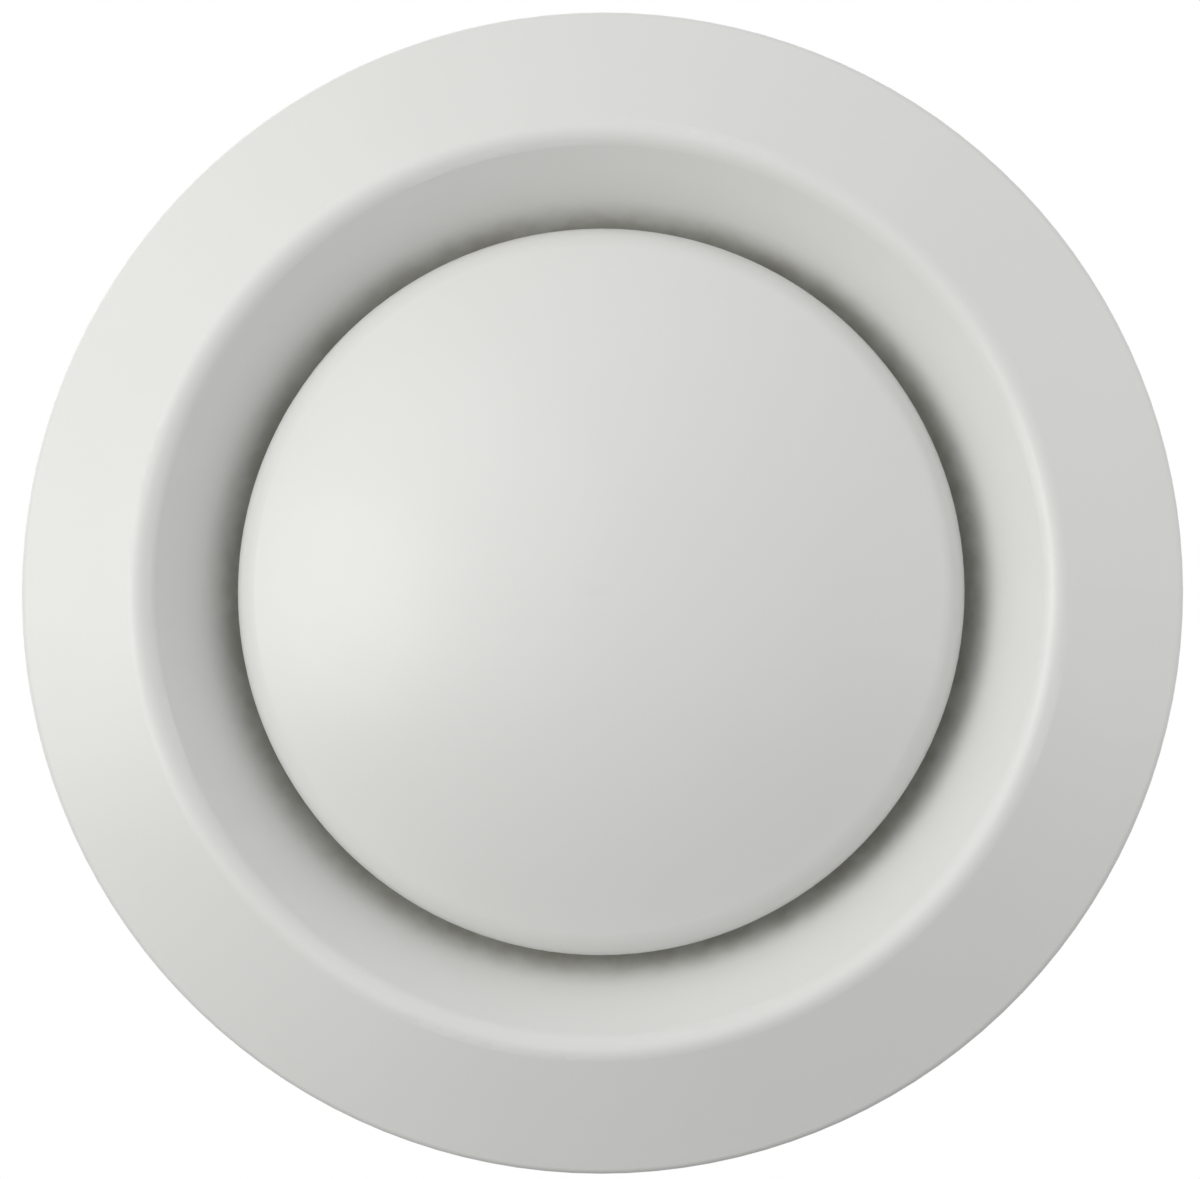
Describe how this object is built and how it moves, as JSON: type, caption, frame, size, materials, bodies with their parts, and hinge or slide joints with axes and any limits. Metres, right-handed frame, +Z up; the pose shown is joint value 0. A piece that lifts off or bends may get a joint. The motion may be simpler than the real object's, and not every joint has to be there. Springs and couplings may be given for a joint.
{
  "type": "ventilation disc valve",
  "caption": "Round extract-air valve: conical flange with a funnel throat, a domed disc on a screw spindle, and a bayonet mounting frame for the duct.",
  "frame": {"origin": "centre of the valve in the wall plane, where the mounting frame's rim and the flange gasket rest", "axes": "+Y along the duct, away from the room, so the front faces -Y; +Z up; +X to the right seen from the front"},
  "size_m": [0.164, 0.0691, 0.164],
  "materials": {
    "powder_coat": "satin powder coat on sheet steel",
    "galvanised": "hot-dip galvanised sheet, bare",
    "zinc_plated": "bright zinc plated",
    "foam": "closed-cell foam"
  },
  "bodies": {
    "frame": {"mounting_frame": "galvanised", "bayonet_studs": "zinc_plated"},
    "valve_body": {"front_ring": "powder_coat", "collar": "powder_coat", "flange_gasket": "foam", "bridge": "galvanised", "bridge_rivets": "zinc_plated", "weld_nut": "zinc_plated", "lock_washer": "zinc_plated"},
    "lock_nut": {"lock_nut": "zinc_plated"},
    "stop_washer": {"stop_washer": "zinc_plated"},
    "disc": {"valve_disc": "powder_coat", "disc_seal": "foam", "disc_cup": "galvanised", "cup_front_nut": "zinc_plated", "cup_spring_washer": "zinc_plated", "cup_washer": "zinc_plated", "cup_rear_nut": "zinc_plated", "spindle": "zinc_plated", "retaining_clip": "zinc_plated"}
  },
  "joints": [
    {"name": "bayonet_twist", "type": "hinge", "parent": "frame", "child": "valve_body", "pos_m": [0, 0.012, 0], "axis": [0, -1, 0], "range_deg": [0, 18]},
    {"name": "lock_nut_turn", "type": "hinge", "parent": "valve_body", "child": "lock_nut", "pos_m": [0, 0.0251, 0], "axis": [0, -1, 0], "range_deg": [-90, 0]},
    {"name": "disc_travel", "type": "slide", "parent": "valve_body", "child": "stop_washer", "axis": [0, -1, 0], "range_m": [-0.005, 0.015]},
    {"name": "disc_turn", "type": "hinge", "parent": "stop_washer", "child": "disc", "pos_m": [0, 0.02, 0], "axis": [0, -1, 0], "range_deg": [-1440, 4320]}
  ],
  "couplings": [
    {"joint": "disc_travel", "follows": "disc_turn", "m_per_rad": 0.00019894}
  ]
}
